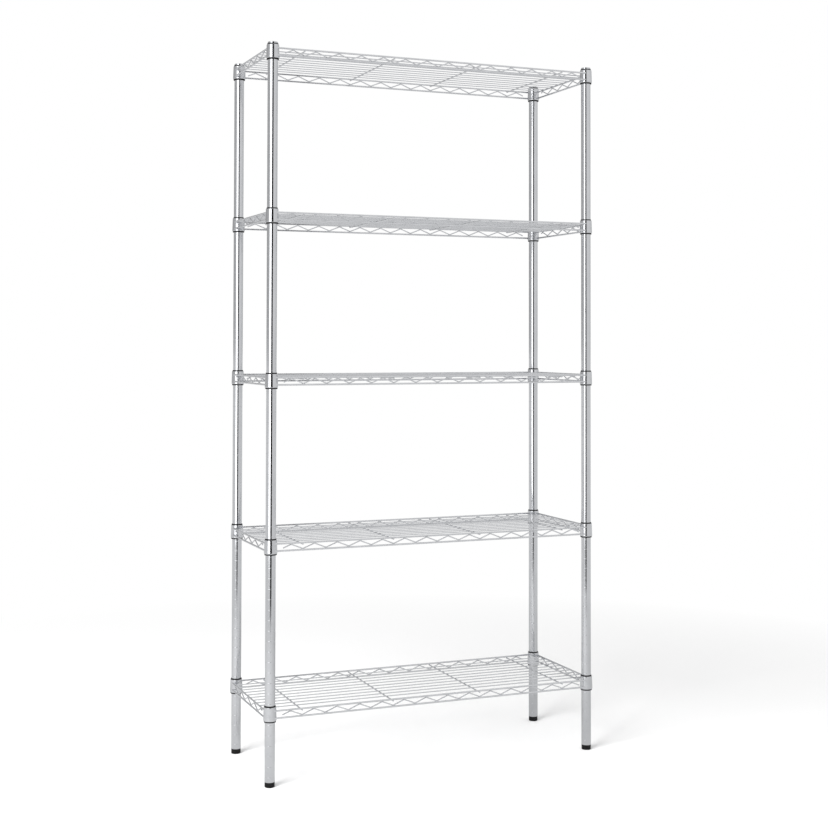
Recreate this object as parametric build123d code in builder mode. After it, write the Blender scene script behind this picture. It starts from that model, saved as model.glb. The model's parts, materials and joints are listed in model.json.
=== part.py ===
"""Wire shelving rack: grooved posts, welded wire shelves, split tapered sleeves and levelling feet.

Millimetres. X runs along the shelves, Y from front to rear, Z up. The origin is on the floor
at the middle of the rack. Every shelf is its own weldment that lifts off its four sleeves, and
every foot screws out of its post.
"""

import os
from math import acos, asin, atan2, cos, degrees, hypot, radians, sin

from build123d import *

# Posts
post_spacing_x = 878.0  # post centre to post centre, along the shelves
post_spacing_y = 312.0  # post centre to post centre, front to rear
post_diameter = 25.4
post_wall = 1.2
groove_pitch = 25.4  # the posts are grooved every inch, counted from the floor
groove_depth = 0.35
groove_width = 2.0
split_groove = 36  # groove at which the lower and upper sections of a post meet

# Shelf levels, counted in grooves
shelf_count = 5
first_shelf_groove = 7
shelf_step_grooves = 16
grooves_above_top_shelf = 1

# Split sleeves that carry the shelves
sleeve_height = 40.0
sleeve_top_wall = 1.15
sleeve_bottom_wall = 2.45
sleeve_post_gap = 0.05
sleeve_ridge_gap = 0.05  # between the ridge and the groove that it sits in
sleeve_split_gap = 0.3  # between the two halves
sleeve_tongue_height = 16.0
sleeve_tongue_length = 3.0  # along the circumference
sleeve_tongue_gap = 0.2

# Tapered collars at the shelf corners
collar_height = 34.0
collar_wall = 1.4
collar_seat_gap = 0.1  # between the collar and its sleeve
collar_lip = 0.6  # radius of its rounded ends

# Shelf wires
rail_wire = 4.5
truss_wire = 3.0
deck_wire = 2.9
cross_wire = 3.5
weld_sink = 0.3  # how far welded wires are pressed into each other
rail_inset = 4.05  # from the collar's outer surface, at its middle, in to the rail's centre
top_rail_rise = 8.0  # above the middle of the collar
lower_rail_drop = 9.8  # below the middle of the collar
truss_pitch = 60.0
truss_bend = 6.0
truss_end_room = 34.0  # least distance from a post's centre to the last bend
truss_end_gap = 28.0  # from a post's centre to the truss wire's cut end
truss_stub_share = 0.7  # longest free end, as a share of half a pitch
deck_wire_count = 10
deck_edge_inset = 28.2  # from the post centres in to the outermost deck wire
cross_wire_count = 4
cross_wire_reach = 1.2  # past the centre of the front and rear rails

# Levelling feet
foot_height = 12.7
foot_inset = 0.2  # pad radius, inside the post's surface
foot_edge = 2.5
foot_line_depth = 0.4
foot_line_width = 1.0
stud_diameter = 8.0
stud_length = 26.0  # above the pad
stud_head_flats = 11.0
stud_head_height = 5.0
stud_head_floor = 4.0  # plastic left under the stud's head
stud_chamfer = 0.8

# Threaded inserts and the studs that join the post sections
thread_gap = 0.05
insert_height = 24.0
joiner_diameter = 10.0
joiner_length = 38.0
joiner_chamfer = 1.0

# Caps pressed into the tops of the posts
cap_rise = 2.2
cap_rim = 0.6  # cap radius, inside the post's surface
cap_edge = 0.7  # height of the cap's straight edge, under its dome
cap_plug_length = 10.0
cap_plug_wall = 1.2
cap_plug_gap = 0.05

# Sizes that follow from those above
post_radius = post_diameter / 2
post_bore = post_radius - post_wall
groove_round = (groove_width**2 / 4 + groove_depth**2) / (2 * groove_depth)
groove_centre = post_radius + groove_round - groove_depth
rack_grooves = first_shelf_groove + (shelf_count - 1) * shelf_step_grooves + grooves_above_top_shelf
rack_height = rack_grooves * groove_pitch
post_top = rack_height - cap_rise
split_height = split_groove * groove_pitch
sleeve_bore = post_radius + sleeve_post_gap
sleeve_taper = (sleeve_bottom_wall - sleeve_top_wall) / sleeve_height
rail_radius = rail_wire / 2
shelf_levels = [
    (first_shelf_groove + number * shelf_step_grooves) * groove_pitch
    for number in range(shelf_count)
]


def sleeve_radius(rise: float) -> float:
    """Outer radius of a sleeve, a height above its middle."""
    return sleeve_bore + (sleeve_bottom_wall + sleeve_top_wall) / 2 - sleeve_taper * rise


def collar_bore(rise: float) -> float:
    """Inner radius of a collar, a height above its middle."""
    return sleeve_radius(rise) + collar_seat_gap


def collar_radius(rise: float) -> float:
    """Outer radius of a collar, a height above its middle."""
    return collar_bore(rise) + collar_wall


rail_offset = collar_radius(0) - rail_inset
rail_x = post_spacing_x / 2 + rail_offset
rail_y = post_spacing_y / 2 + rail_offset

corners = {
    "front_left": (-post_spacing_x / 2, -post_spacing_y / 2),
    "front_right": (post_spacing_x / 2, -post_spacing_y / 2),
    "rear_left": (-post_spacing_x / 2, post_spacing_y / 2),
    "rear_right": (post_spacing_x / 2, post_spacing_y / 2),
}


def upright(spot: tuple[float, float], turn: float = 0.0) -> Plane:
    """Plane through a post's centre line: local x is the radius, local y the height."""
    angle = radians(turn)
    return Plane(
        origin=(spot[0], spot[1], 0),
        x_dir=(cos(angle), sin(angle), 0),
        z_dir=(sin(angle), -cos(angle), 0),
    )


def centre_line(spot: tuple[float, float]) -> Axis:
    """The upright axis through a post's centre."""
    return Axis((spot[0], spot[1], 0), (0, 0, 1))


def turned(
    outline: list[tuple[float, float]],
    spot: tuple[float, float],
    start: float = 0.0,
    arc: float = 360.0,
    mode: Mode = Mode.ADD,
) -> None:
    """Turn a closed outline of (radius, height) points about a post's centre line."""
    with BuildSketch(upright(spot, start)) as profile:
        with BuildLine():
            Polyline(*outline, close=True)
        make_face()
    revolve(profile.sketch, axis=centre_line(spot), revolution_arc=arc, mode=mode)


def box_outline(inner: float, outer: float, bottom: float, top: float) -> list[tuple[float, float]]:
    """Outline of a plain ring, or of a disc where the inner radius is nothing."""
    return [(inner, bottom), (outer, bottom), (outer, top), (inner, top)]


def tube_section(spot: tuple[float, float], bottom: float, top: float) -> None:
    """A length of post, with a groove at every multiple of the pitch that it spans."""
    first_groove = round(bottom // groove_pitch)
    last_groove = round(top // groove_pitch) + 1
    with BuildSketch(upright(spot)) as profile:
        with BuildLine():
            Polyline(*box_outline(post_bore, post_radius, bottom, top), close=True)
        make_face()
        for groove in range(first_groove, last_groove + 1):
            with Locations((groove_centre, groove * groove_pitch)):
                Circle(groove_round, mode=Mode.SUBTRACT)
    revolve(profile.sketch, axis=centre_line(spot))


def shaft(spot: tuple[float, float], bottom: float, top: float, width: float, lead: float) -> None:
    """A plain shaft with a chamfered lead at its upper end."""
    outline = [
        (0, bottom),
        (width / 2, bottom),
        (width / 2, top - lead),
        (width / 2 - lead, top),
        (0, top),
    ]
    turned(outline, spot)


def sleeve_ridge(level: float) -> list[tuple[float, float]]:
    """Points of the ridge inside a sleeve, which follows the groove's round with a small gap."""
    ridge_round = groove_round - sleeve_ridge_gap
    half_arc = acos((groove_centre - sleeve_bore) / ridge_round)
    return [
        (
            groove_centre - ridge_round * cos(half_arc * share),
            level + ridge_round * sin(half_arc * share),
        )
        for share in (1, 0.5, 0, -0.5, -1)
    ]


def half_sleeve(spot: tuple[float, float], level: float, turn: float) -> None:
    """One half of a split sleeve: a tongue at one edge, and a notch for the other's tongue."""
    half = sleeve_height / 2
    tongue_half = sleeve_tongue_height / 2
    notch_half = tongue_half + sleeve_tongue_gap
    beyond = sleeve_radius(-half) + sleeve_bottom_wall
    gap_arc = degrees(sleeve_split_gap / 2 / sleeve_bore)
    tongue_arc = degrees(sleeve_tongue_length / sleeve_bore)
    clearance_arc = degrees(sleeve_tongue_gap / sleeve_bore)
    wall = [
        (sleeve_bore, level - half),
        (sleeve_radius(-half), level - half),
        (sleeve_radius(half), level + half),
        (sleeve_bore, level + half),
        *sleeve_ridge(level),
    ]
    tongue = [
        (sleeve_bore, level - tongue_half),
        (sleeve_radius(-tongue_half), level - tongue_half),
        (sleeve_radius(tongue_half), level + tongue_half),
        (sleeve_bore, level + tongue_half),
    ]
    notch = box_outline(post_bore, beyond, level - notch_half, level + notch_half)
    turned(wall, spot, turn + gap_arc, 180 - 2 * gap_arc)
    turned(notch, spot, turn - gap_arc, gap_arc + tongue_arc + clearance_arc, Mode.SUBTRACT)
    turned(tongue, spot, turn + 180 - gap_arc, gap_arc + tongue_arc)


def tapered_ring(spot: tuple[float, float], level: float) -> None:
    """A shelf's corner collar, with rounded lips."""
    half = collar_height / 2
    with BuildSketch(upright(spot)) as profile:
        with BuildLine():
            Polyline(
                (collar_bore(-half), level - half),
                (collar_radius(-half), level - half),
                (collar_radius(half), level + half),
                (collar_bore(half), level + half),
                close=True,
            )
        make_face()
        fillet(profile.vertices(), radius=collar_lip)
    revolve(profile.sketch, axis=centre_line(spot))


def straight_wire(start: Vector, end: Vector, width: float) -> None:
    """A straight round wire between two points."""
    run = end - start
    with BuildSketch(Plane(origin=start, z_dir=run)) as section:
        Circle(width / 2)
    extrude(section.sketch, amount=run.length)


def rail_frame(height: float, level: float) -> None:
    """Four rails at one height, cut where they are welded to the outside of the collars."""
    for side in (-1, 1):
        straight_wire(
            Vector(-post_spacing_x / 2, side * rail_y, height),
            Vector(post_spacing_x / 2, side * rail_y, height),
            rail_wire,
        )
        straight_wire(
            Vector(side * rail_x, -post_spacing_y / 2, height),
            Vector(side * rail_x, post_spacing_y / 2, height),
            rail_wire,
        )
    half = collar_height / 2
    inside_collar = [
        (0, level - half),
        (collar_radius(-half) - weld_sink, level - half),
        (collar_radius(half) - weld_sink, level + half),
        (0, level + half),
    ]
    for spot in corners.values():
        turned(inside_collar, spot, mode=Mode.SUBTRACT)


def truss_peaks(spacing: float) -> list[float]:
    """Places of the upper bends of a truss wire, along a side of the given post spacing."""
    gaps = int((spacing - 2 * truss_end_room) // truss_pitch)
    return [(number - gaps / 2) * truss_pitch for number in range(gaps + 1)]


def truss_valleys(spacing: float) -> list[float]:
    """Places of the lower bends, half way between the upper ones."""
    return [peak + truss_pitch / 2 for peak in truss_peaks(spacing)[:-1]]


def truss_route(spacing: float, level: float) -> list[tuple[float, float]]:
    """Corner points of a zigzag wire whose rounded bends touch the rails."""
    to_rail = rail_radius + truss_wire / 2 - weld_sink
    high = level + top_rail_rise - to_rail
    low = level - lower_rail_drop + to_rail
    run = truss_pitch / 2
    straight_rise = high - low - 2 * truss_bend
    slope = atan2(straight_rise, run) + asin(2 * truss_bend / hypot(run, straight_rise))
    past_bend = truss_bend * (1 / cos(slope) - 1)
    peaks = truss_peaks(spacing)
    stub = min(spacing / 2 - truss_end_gap - peaks[-1], truss_stub_share * run)
    stub_height = high + past_bend - stub * sin(slope) / cos(slope)
    route = [(peaks[0] - stub, stub_height)]
    for peak in peaks[:-1]:
        route.append((peak, high + past_bend))
        route.append((peak + run, low - past_bend))
    route.append((peaks[-1], high + past_bend))
    route.append((peaks[-1] + stub, stub_height))
    return route


def bent_wire(plane: Plane, route: list[tuple[float, float]], bend: float, width: float) -> None:
    """A round wire along a route of corner points in a plane, with rounded bends."""
    with BuildLine(plane) as path:
        FilletPolyline(*route, radius=bend)
    with BuildSketch(Plane(origin=path.line @ 0, z_dir=path.line % 0)) as section:
        Circle(width / 2)
    sweep(section.sketch, path=path.line)


def keep(part: Part, name: str) -> None:
    """Label a finished piece and write it."""
    part.label = name
    export_step(part, f"parts/{name}.step")


os.makedirs("parts", exist_ok=True)

# Posts, each of two sections
for corner, spot in corners.items():
    with BuildPart() as lower_section:
        tube_section(spot, foot_height, split_height)
    keep(lower_section.part, f"post_lower_{corner}")

    with BuildPart() as upper_section:
        tube_section(spot, split_height, post_top)
    keep(upper_section.part, f"post_upper_{corner}")

# Threaded inserts: one for the foot, and one in each mating end
with BuildPart() as inserts:
    for spot in corners.values():
        for bottom, thread in (
            (foot_height, stud_diameter),
            (split_height - insert_height, joiner_diameter),
            (split_height, joiner_diameter),
        ):
            thread_bore = thread / 2 + thread_gap
            turned(box_outline(thread_bore, post_bore, bottom, bottom + insert_height), spot)
keep(inserts.part, "post_inserts")

with BuildPart() as joiners:
    for spot in corners.values():
        shaft(
            spot,
            split_height - joiner_length / 2,
            split_height + joiner_length / 2,
            joiner_diameter,
            joiner_chamfer,
        )
keep(joiners.part, "post_joiner_studs")

# Caps: a low dome on a hollow plug
with BuildPart() as caps:
    cap_radius = post_radius - cap_rim
    plug_radius = post_bore - cap_plug_gap
    dome_rise = cap_rise - cap_edge
    dome_round = (cap_radius**2 + dome_rise**2) / (2 * dome_rise)
    half_way_drop = dome_round - (dome_round**2 - cap_radius**2 / 4) ** 0.5
    for spot in corners.values():
        with BuildSketch(upright(spot)) as profile:
            with BuildLine():
                Polyline(
                    (0, post_top),
                    (plug_radius - cap_plug_wall, post_top),
                    (plug_radius - cap_plug_wall, post_top - cap_plug_length),
                    (plug_radius, post_top - cap_plug_length),
                    (plug_radius, post_top),
                    (cap_radius, post_top),
                    (cap_radius, post_top + cap_edge),
                )
                ThreePointArc(
                    (cap_radius, post_top + cap_edge),
                    (cap_radius / 2, rack_height - half_way_drop),
                    (0, rack_height),
                )
                Line((0, rack_height), (0, post_top))
            make_face()
        revolve(profile.sketch, axis=centre_line(spot))
keep(caps.part, "post_caps")

# Levelling feet: a pad moulded round the head of a threaded stud
for corner, spot in corners.items():
    foot_radius = post_radius - foot_inset
    with BuildPart() as foot_pad:
        with BuildSketch(upright(spot)) as profile:
            with BuildLine():
                Polyline(*box_outline(0, foot_radius, 0, foot_height), close=True)
            make_face()
            fillet(profile.vertices().group_by(Axis.Y)[0].sort_by(Axis.X)[-1], radius=foot_edge)
            with Locations((foot_radius, foot_height / 2)):
                Rectangle(2 * foot_line_depth, foot_line_width, mode=Mode.SUBTRACT)
        revolve(profile.sketch, axis=centre_line(spot))
        with BuildSketch(Plane.XY.offset(stud_head_floor)) as head_pocket:
            with Locations(spot):
                RegularPolygon(stud_head_flats / 2, 6, major_radius=False)
        extrude(head_pocket.sketch, amount=stud_head_height, mode=Mode.SUBTRACT)
        turned(box_outline(0, stud_diameter / 2, stud_head_floor, foot_height), spot, mode=Mode.SUBTRACT)
    keep(foot_pad.part, f"foot_pad_{corner}")

    with BuildPart() as foot_stud:
        shaft(spot, stud_head_floor, foot_height + stud_length, stud_diameter, stud_chamfer)
        with BuildSketch(Plane.XY.offset(stud_head_floor)) as head:
            with Locations(spot):
                RegularPolygon(stud_head_flats / 2, 6, major_radius=False)
        extrude(head.sketch, amount=stud_head_height)
    keep(foot_stud.part, f"foot_stud_{corner}")

# Shelves, each with the split sleeves that carry it
deck_limit_y = post_spacing_y / 2 - deck_edge_inset
deck_pitch = 2 * deck_limit_y / (deck_wire_count - 1)
deck_end_x = rail_x - rail_radius + weld_sink
valleys = truss_valleys(post_spacing_x)
cross_places = [
    valleys[round(number * (len(valleys) - 1) / (cross_wire_count - 1))]
    for number in range(cross_wire_count)
]

for number, level in enumerate(shelf_levels, start=1):
    top_rail_height = level + top_rail_rise
    cross_height = top_rail_height - rail_radius - cross_wire / 2 + weld_sink
    deck_height = cross_height + cross_wire / 2 + deck_wire / 2 - weld_sink

    for side in ("left", "right"):
        with BuildPart() as sleeve_halves:
            for end in ("front", "rear"):
                spot = corners[f"{end}_{side}"]
                outward = degrees(atan2(spot[1], spot[0]))
                for turn in (90, 270):
                    half_sleeve(spot, level, outward + turn)
        keep(sleeve_halves.part, f"sleeve_halves_{number}_{side}")

    with BuildPart() as collars:
        for spot in corners.values():
            tapered_ring(spot, level)
    keep(collars.part, f"shelf_{number}_collars")

    with BuildPart() as top_rails:
        rail_frame(top_rail_height, level)
    keep(top_rails.part, f"shelf_{number}_top_rails")

    with BuildPart() as lower_rails:
        rail_frame(level - lower_rail_drop, level)
    keep(lower_rails.part, f"shelf_{number}_lower_rails")

    with BuildPart() as trusses:
        for side in (-1, 1):
            along = Plane(origin=(0, side * rail_y, 0), x_dir=(1, 0, 0), z_dir=(0, -1, 0))
            across = Plane(origin=(side * rail_x, 0, 0), x_dir=(0, 1, 0), z_dir=(1, 0, 0))
            bent_wire(along, truss_route(post_spacing_x, level), truss_bend, truss_wire)
            bent_wire(across, truss_route(post_spacing_y, level), truss_bend, truss_wire)
    keep(trusses.part, f"shelf_{number}_truss_wires")

    with BuildPart() as deck:
        for row in range(deck_wire_count):
            wire_y = row * deck_pitch - deck_limit_y
            straight_wire(
                Vector(-deck_end_x, wire_y, deck_height),
                Vector(deck_end_x, wire_y, deck_height),
                deck_wire,
            )
    keep(deck.part, f"shelf_{number}_deck_wires")

    with BuildPart() as cross_wires:
        for place in cross_places:
            straight_wire(
                Vector(place, -rail_y - cross_wire_reach, cross_height),
                Vector(place, rail_y + cross_wire_reach, cross_height),
                cross_wire,
            )
    keep(cross_wires.part, f"shelf_{number}_cross_wires")
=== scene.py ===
"""Chrome wire shelving rack: grooved posts, five welded wire shelves, split sleeves and levelling feet.

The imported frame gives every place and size. Each sub-assembly is a class that models its own
pieces, dresses them in their finish and hangs them on the body that they move with. Lengths
are in metres: X runs along the shelves, Y from front to rear and Z up.
"""

import json
import logging
import math
from collections.abc import Callable, Sequence
from dataclasses import dataclass
from enum import Enum

import bpy
from mathutils import Matrix, Vector

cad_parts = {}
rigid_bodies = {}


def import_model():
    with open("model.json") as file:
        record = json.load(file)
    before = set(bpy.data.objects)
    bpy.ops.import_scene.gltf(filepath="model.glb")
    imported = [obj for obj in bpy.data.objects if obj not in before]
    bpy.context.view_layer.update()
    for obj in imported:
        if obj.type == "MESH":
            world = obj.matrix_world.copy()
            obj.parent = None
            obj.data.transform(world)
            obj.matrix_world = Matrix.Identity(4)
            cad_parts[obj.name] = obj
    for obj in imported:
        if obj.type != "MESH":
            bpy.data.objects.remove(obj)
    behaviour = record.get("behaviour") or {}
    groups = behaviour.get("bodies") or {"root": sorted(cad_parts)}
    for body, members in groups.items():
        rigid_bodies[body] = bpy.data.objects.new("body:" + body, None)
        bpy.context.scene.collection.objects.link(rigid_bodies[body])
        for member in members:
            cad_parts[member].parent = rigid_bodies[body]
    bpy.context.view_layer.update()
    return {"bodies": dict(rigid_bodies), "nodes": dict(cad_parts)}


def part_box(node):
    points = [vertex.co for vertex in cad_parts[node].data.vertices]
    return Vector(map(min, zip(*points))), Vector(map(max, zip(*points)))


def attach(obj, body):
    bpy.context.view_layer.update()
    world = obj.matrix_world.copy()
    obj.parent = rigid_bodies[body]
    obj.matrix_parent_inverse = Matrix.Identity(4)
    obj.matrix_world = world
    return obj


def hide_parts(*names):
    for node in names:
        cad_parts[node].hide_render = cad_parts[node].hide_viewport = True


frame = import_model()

LOG = logging.getLogger("wire_rack")

MM = 0.001
FULL_TURN = math.tau
QUARTER_TURN = math.pi / 2
MERGE_GAP = 2e-6
SMOOTH_BELOW = math.radians(35)
CUT_SMOOTH_BELOW = math.radians(50)  # for the rounded cut ends of wires
UP = Vector((0, 0, 1))
LEVEL = Vector((1, 1, 0))

Piece = bpy.types.Object
Tree = bpy.types.NodeTree
Node = bpy.types.Node
Socket = bpy.types.NodeSocket
Material = bpy.types.Material
Outline = list[tuple[float, float]]
Colour = tuple[float, float, float]


class Corner(Enum):
    """The four corners of the rack."""

    FRONT_LEFT = "front_left"
    FRONT_RIGHT = "front_right"
    REAR_LEFT = "rear_left"
    REAR_RIGHT = "rear_right"


SIDES = {
    "left": (Corner.FRONT_LEFT, Corner.REAR_LEFT),
    "right": (Corner.FRONT_RIGHT, Corner.REAR_RIGHT),
}


class Slot(Enum):
    """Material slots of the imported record."""

    POST = "chrome_post"
    WIRE = "chrome_wire"
    COLLAR = "chrome_collar"
    SLEEVE = "black_sleeve"
    FOOT = "black_foot"
    ZINC = "zinc_steel"
    CAP = "cap_metal"


class Lie(Enum):
    """The two ways that a shelf's wires lie."""

    ALONG = Vector((1, 0, 0))
    ACROSS = Vector((0, 1, 0))

    @property
    def other(self) -> "Lie":
        """The way at right angles to it."""
        return Lie.ACROSS if self is Lie.ALONG else Lie.ALONG


# ------------------------------------------------------------------------------ modelling


def deselect() -> None:
    """Select nothing."""
    bpy.ops.object.select_all(action="DESELECT")


def pick(*pieces: Piece) -> None:
    """Select only these pieces.

    Args:
        pieces: what to select; the first one becomes the active one.
    """
    deselect()
    for piece in pieces:
        piece.select_set(True)
    bpy.context.view_layer.objects.active = pieces[0]


def edit(piece: Piece) -> None:
    """Open a piece's mesh for editing, with all of it selected.

    Args:
        piece: the mesh object to edit.
    """
    pick(piece)
    bpy.ops.object.mode_set(mode="EDIT")
    bpy.ops.mesh.select_all(action="SELECT")


def close_up(smooth_below: float = SMOOTH_BELOW) -> Piece:
    """Merge doubles, turn faces outwards, leave edit mode and smooth the gentle bends.

    Args:
        smooth_below: bends up to this angle are shaded smooth.

    Returns:
        The piece that was being edited.
    """
    bpy.ops.mesh.select_all(action="SELECT")
    bpy.ops.mesh.remove_doubles(threshold=MERGE_GAP)
    bpy.ops.mesh.normals_make_consistent(inside=False)
    bpy.ops.object.mode_set(mode="OBJECT")
    bpy.ops.object.shade_smooth_by_angle(angle=smooth_below)
    return bpy.context.object


def draw_outline(outline: Outline, angle: float = 0.0) -> None:
    """Draw an outline on an upright plane through the Z axis, by drawing out one point.

    Args:
        outline: (radius, height) points, in order.
        angle: the plane's turn about the Z axis.
    """
    corners = [Vector((r * math.cos(angle), r * math.sin(angle), z)) for r, z in outline]
    deselect()
    bpy.ops.mesh.primitive_plane_add(size=MM)
    bpy.ops.object.mode_set(mode="EDIT")
    bpy.ops.mesh.merge(type="CENTER")
    bpy.ops.transform.translate(value=corners[0])
    for here, there in zip(corners, corners[1:]):
        bpy.ops.mesh.extrude_vertices_move(TRANSFORM_OT_translate={"value": there - here})
    bpy.ops.mesh.select_all(action="SELECT")


def turned(outline: Outline, steps: int) -> Piece:
    """Turn an outline once round the Z axis.

    Args:
        outline: (radius, height) points; they end where they start, or on the axis.
        steps: how many steps the turn takes.

    Returns:
        The closed piece.
    """
    draw_outline(outline)
    bpy.ops.mesh.spin(steps=steps, angle=FULL_TURN, center=(0, 0, 0), axis=UP)
    return close_up()


def part_turned(outline: Outline, steps: int, start: float, arc: float) -> Piece:
    """Turn a closed outline part of the way round the Z axis, with a face at each end.

    Args:
        outline: (radius, height) points, in order, without the first one again.
        steps: how many steps the turn takes.
        start: angle of its first end.
        arc: angle from its first end to its last.

    Returns:
        The closed piece.
    """
    draw_outline(outline, start)
    bpy.ops.mesh.edge_face_add()
    bpy.ops.mesh.spin(steps=steps, angle=-arc, center=(0, 0, 0), axis=UP)
    return close_up()


def rounded_corner(corner: tuple[float, float], back: Vector, onward: Vector, steps: int = 4) -> Outline:
    """Round off one corner of an outline along a quarter of an ellipse.

    Args:
        corner: the sharp corner.
        back: from the corner to where the rounding starts.
        onward: from the corner to where the rounding ends.
        steps: how many straight pieces make it.

    Returns:
        The points of the rounding, in order.
    """
    points = []
    for step in range(steps + 1):
        turn = QUARTER_TURN * step / steps
        offset = back * (1 - math.sin(turn)) + onward * (1 - math.cos(turn))
        points.append((corner[0] + offset.x, corner[1] + offset.y))
    return points


def shifted(piece: Piece, offset: Vector) -> Piece:
    """Move a piece's mesh and leave its object at the origin."""
    piece.data.transform(Matrix.Translation(offset))
    return piece


def turned_round(piece: Piece, angle: float) -> Piece:
    """Turn a piece's mesh about the Z axis and leave its object unturned."""
    piece.data.transform(Matrix.Rotation(angle, 4, "Z"))
    return piece


def copied(piece: Piece, offset: Vector = Vector()) -> Piece:
    """Copy a piece with a mesh of its own, and move the copy.

    Args:
        piece: what to copy.
        offset: how far the copy stands from it.

    Returns:
        The copy.
    """
    twin = piece.copy()
    twin.data = piece.data.copy()
    bpy.context.collection.objects.link(twin)
    return shifted(twin, offset)


def joined(pieces: Sequence[Piece]) -> Piece:
    """Join pieces into one object.

    Args:
        pieces: what to join, at least one.

    Returns:
        The object that holds them all.
    """
    pick(*pieces)
    if len(pieces) > 1:
        bpy.ops.object.join()
    return bpy.context.object


def spread(pattern: Piece, offsets: Sequence[Vector]) -> Piece:
    """Use up a pattern by copying it to many places.

    Args:
        pattern: what to copy; it is removed.
        offsets: where the copies stand.

    Returns:
        The copies as one object.
    """
    copies = [copied(pattern, offset) for offset in offsets]
    bpy.data.objects.remove(pattern)
    return joined(copies)


def stood_at(spots: dict[Corner, Vector], pattern: Piece) -> list[tuple[str, Piece]]:
    """Use up a pattern by standing a copy of it at every post.

    Args:
        spots: where the posts stand.
        pattern: what to copy, standing on the Z axis; it is removed.

    Returns:
        Each corner's name with its copy.
    """
    copies = [(corner.value, copied(pattern, spot)) for corner, spot in spots.items()]
    bpy.data.objects.remove(pattern)
    return copies


def on_four_sides(model: Callable[[Lie], Piece]) -> Piece:
    """Model a wire that lies along and one that lies across, and copy each to the opposite side.

    Args:
        model: models the wire of one side.

    Returns:
        The four wires as one object.
    """
    pieces = []
    for lie in Lie:
        pattern = model(lie)
        pieces += [pattern, turned_round(copied(pattern), math.pi)]
    return joined(pieces)


def even_rows(reach: float, count: int) -> list[float]:
    """Places of evenly spaced wires, from one side of the middle to the other."""
    return [reach * (2 * row / (count - 1) - 1) for row in range(count)]


def drop(size: Vector, segments: int = 8, rings: int = 6, smooth_below: float = math.pi) -> Piece:
    """Model a drop of weld metal round the origin.

    Args:
        size: its length on each axis.
        segments: how many faces go round it.
        rings: how many go from pole to pole.
        smooth_below: bends up to this angle are shaded smooth.

    Returns:
        The drop.
    """
    deselect()
    bpy.ops.mesh.primitive_uv_sphere_add(segments=segments, ring_count=rings, radius=0.5)
    edit(bpy.context.object)
    bpy.ops.transform.resize(value=size, center_override=(0, 0, 0))
    return close_up(smooth_below)


class DrawnWire:
    """A round wire, drawn out from its first cut end through straight runs and bends."""

    def __init__(self, start: Vector, heading: Vector, width: float, sides: int, burr: float) -> None:
        """Cut the first end.

        Args:
            start: centre of the end face.
            heading: unit direction of the wire there.
            width: its diameter.
            sides: how many flat faces go round it.
            burr: radius that its cut ends are rounded to.
        """
        self.place = start.copy()
        self.heading = heading.copy()
        self.radius = width / 2
        self.burr = burr
        self.half_way = burr * math.sin(math.pi / 4)
        deselect()
        bpy.ops.mesh.primitive_circle_add(
            vertices=sides,
            radius=self.radius - burr,
            fill_type="NGON",
            location=start,
            rotation=heading.to_track_quat("Z", "Y").to_euler(),
        )
        bpy.ops.object.transform_apply(location=True, rotation=True, scale=True)
        bpy.ops.object.mode_set(mode="EDIT")
        bpy.ops.mesh.select_all(action="SELECT")
        halfway_radius = self.radius - burr + self.half_way
        self.run(burr - self.half_way, halfway_radius / (self.radius - burr))
        self.run(self.half_way, self.radius / halfway_radius)

    def run(self, length: float, widening: float = 1.0) -> None:
        """Draw the wire straight on, and widen or narrow its end.

        Args:
            length: how far it goes on.
            widening: how many times wider its end becomes.
        """
        step = self.heading * length
        bpy.ops.mesh.extrude_region_move(TRANSFORM_OT_translate={"value": step})
        self.place += step
        if widening != 1.0:
            bpy.ops.transform.resize(value=(widening,) * 3, center_override=self.place)

    def bend(self, centre: Vector, axis: Vector, angle: float, steps: int) -> None:
        """Bend the wire on. The spin operator turns against a matrix, so it takes the angle negated.

        Args:
            centre: a point on the axis of the bend.
            axis: unit direction of that axis.
            angle: how far the wire turns.
            steps: how many straight pieces make the bend.
        """
        bpy.ops.mesh.spin(steps=steps, angle=-angle, center=centre, axis=axis)
        turn = Matrix.Rotation(angle, 3, axis)
        self.place = centre + turn @ (self.place - centre)
        self.heading = turn @ self.heading

    def cut(self) -> Piece:
        """Round the last end over.

        Returns:
            The finished wire.
        """
        halfway_radius = self.radius - self.burr + self.half_way
        self.run(self.half_way, halfway_radius / self.radius)
        self.run(self.burr - self.half_way, (self.radius - self.burr) / halfway_radius)
        return close_up(CUT_SMOOTH_BELOW)


def straight_wire(start: Vector, end: Vector, width: float, sides: int, burr: float) -> Piece:
    """Draw a straight round wire, with a short run beside each end that keeps the long one shaded flat.

    Args:
        start: one end.
        end: the other end.
        width: its diameter.
        sides: how many flat faces go round it.
        burr: radius that its cut ends are rounded to.

    Returns:
        The finished wire.
    """
    along = end - start
    wire = DrawnWire(start, along.normalized(), width, sides, burr)
    wire.run(burr)
    wire.run(along.length - 4 * burr)
    wire.run(burr)
    return wire.cut()


def finish_piece(piece: Piece, name: str, body: str, slot: Slot, material: Material, *nodes: str) -> None:
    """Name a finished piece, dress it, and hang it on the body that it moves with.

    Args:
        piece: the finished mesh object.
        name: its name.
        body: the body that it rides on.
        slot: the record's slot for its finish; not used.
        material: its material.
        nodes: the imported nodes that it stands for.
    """
    piece.name = name
    piece.data.name = name
    piece.data.materials.clear()
    piece.data.materials.append(material)
    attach(piece, body)
    if nodes:
        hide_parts(*nodes)
    LOG.info("%s: %d faces on %s", name, len(piece.data.polygons), body)


# ------------------------------------------------------------------------ shader effects


def node(tree: Tree, kind: str, **settings: object) -> Node:
    """Add a shader node.

    Args:
        tree: where it goes.
        kind: its type, without the ShaderNode in front.
        settings: its properties.

    Returns:
        The node.
    """
    made = tree.nodes.new(f"ShaderNode{kind}")
    for key, value in settings.items():
        setattr(made, key, value)
    return made


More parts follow.
